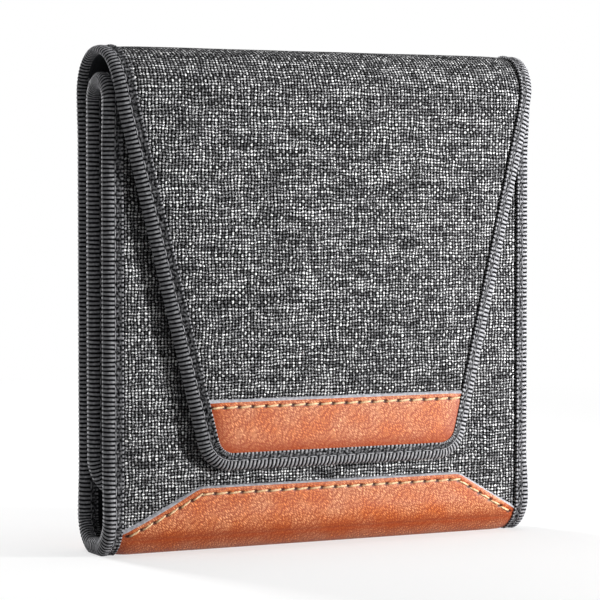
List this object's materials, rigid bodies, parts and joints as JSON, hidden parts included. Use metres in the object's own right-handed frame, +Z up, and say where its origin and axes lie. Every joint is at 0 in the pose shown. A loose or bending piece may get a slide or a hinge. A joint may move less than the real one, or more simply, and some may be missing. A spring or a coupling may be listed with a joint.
{
  "type": "lens filter case",
  "caption": "Upright folding wallet for lens filters: a tapered flap over stacked padded pocket panels, with bound edges and a leather patch and base.",
  "frame": {"origin": "middle of the footprint, on the surface the closed case stands on", "axes": "+Z up, -Y towards the flap's outer face, +X to the right of someone who faces the flap"},
  "size_m": [0.137, 0.0274, 0.142],
  "materials": {
    "heather_cloth": "heather grey polyester oxford weave, matte",
    "lining_cloth": "dark grey brushed polyester lining, matte",
    "binding_tape": "dark grey ribbed grosgrain tape, slight sheen",
    "tan_leather": "tan synthetic leather, fine grain, satin",
    "painted_edge": "pale grey edge coating, satin",
    "stiffener_board": "polyethylene board or non-woven interlining, hidden",
    "hook_tape": "moulded nylon hook tape",
    "loop_tape": "brushed nylon loop tape"
  },
  "bodies": {
    "back_panel": {"back_shell": "heather_cloth", "back_stiffener": "stiffener_board", "back_lining": "lining_cloth", "back_pocket": "lining_cloth", "back_binding_left": "binding_tape", "back_binding_right": "binding_tape", "back_band": "tan_leather", "top_fold_cloth": "heather_cloth", "top_fold_lining": "lining_cloth", "top_fold_binding_left": "binding_tape", "top_fold_binding_right": "binding_tape", "bottom_fold_cloth": "heather_cloth", "bottom_fold_lining": "lining_cloth", "bottom_fold_binding_left": "binding_tape", "bottom_fold_binding_right": "binding_tape", "base_wrap": "tan_leather"},
    "flap": {"flap_shell": "heather_cloth", "flap_interlining": "stiffener_board", "flap_lining": "lining_cloth", "flap_binding": "binding_tape", "flap_patch": "tan_leather", "flap_patch_edge": "painted_edge", "hook_pad": "hook_tape"},
    "front_panel": {"front_shell": "heather_cloth", "front_stiffener": "stiffener_board", "front_lining": "lining_cloth", "front_pocket": "lining_cloth", "front_binding_left": "binding_tape", "front_binding_right": "binding_tape", "base_band": "tan_leather", "base_band_edge": "painted_edge", "loop_pad": "loop_tape", "inner_fold_cloth": "heather_cloth", "inner_fold_lining": "lining_cloth", "inner_fold_binding_left": "binding_tape", "inner_fold_binding_right": "binding_tape"},
    "inner_panel": {"inner_shell": "heather_cloth", "inner_stiffener": "stiffener_board", "inner_lining": "lining_cloth", "inner_pocket": "lining_cloth", "inner_binding": "binding_tape"}
  },
  "joints": [
    {"name": "flap_fold", "type": "hinge", "parent": "back_panel", "child": "flap", "pos_m": [0, 0, 0.144], "axis": [-1, 0, 0], "range_deg": [0, 175], "deforming": ["top_fold_cloth", "top_fold_lining", "top_fold_binding_left", "top_fold_binding_right"]},
    {"name": "front_fold", "type": "hinge", "parent": "back_panel", "child": "front_panel", "pos_m": [0, 0.0022, 0.0015], "axis": [1, 0, 0], "range_deg": [0, 29.75], "deforming": ["bottom_fold_cloth", "bottom_fold_lining", "bottom_fold_binding_left", "bottom_fold_binding_right", "base_wrap"]},
    {"name": "inner_fold", "type": "hinge", "parent": "front_panel", "child": "inner_panel", "pos_m": [0, -0.00143, 0.1327], "axis": [1, 0, 0], "range_deg": [0, 4.55], "deforming": ["inner_fold_cloth", "inner_fold_lining", "inner_fold_binding_left", "inner_fold_binding_right"]}
  ],
  "couplings": [
    {"joint": "front_fold", "follows": "flap_fold", "ratio": 0.17},
    {"joint": "inner_fold", "follows": "flap_fold", "ratio": 0.026}
  ]
}
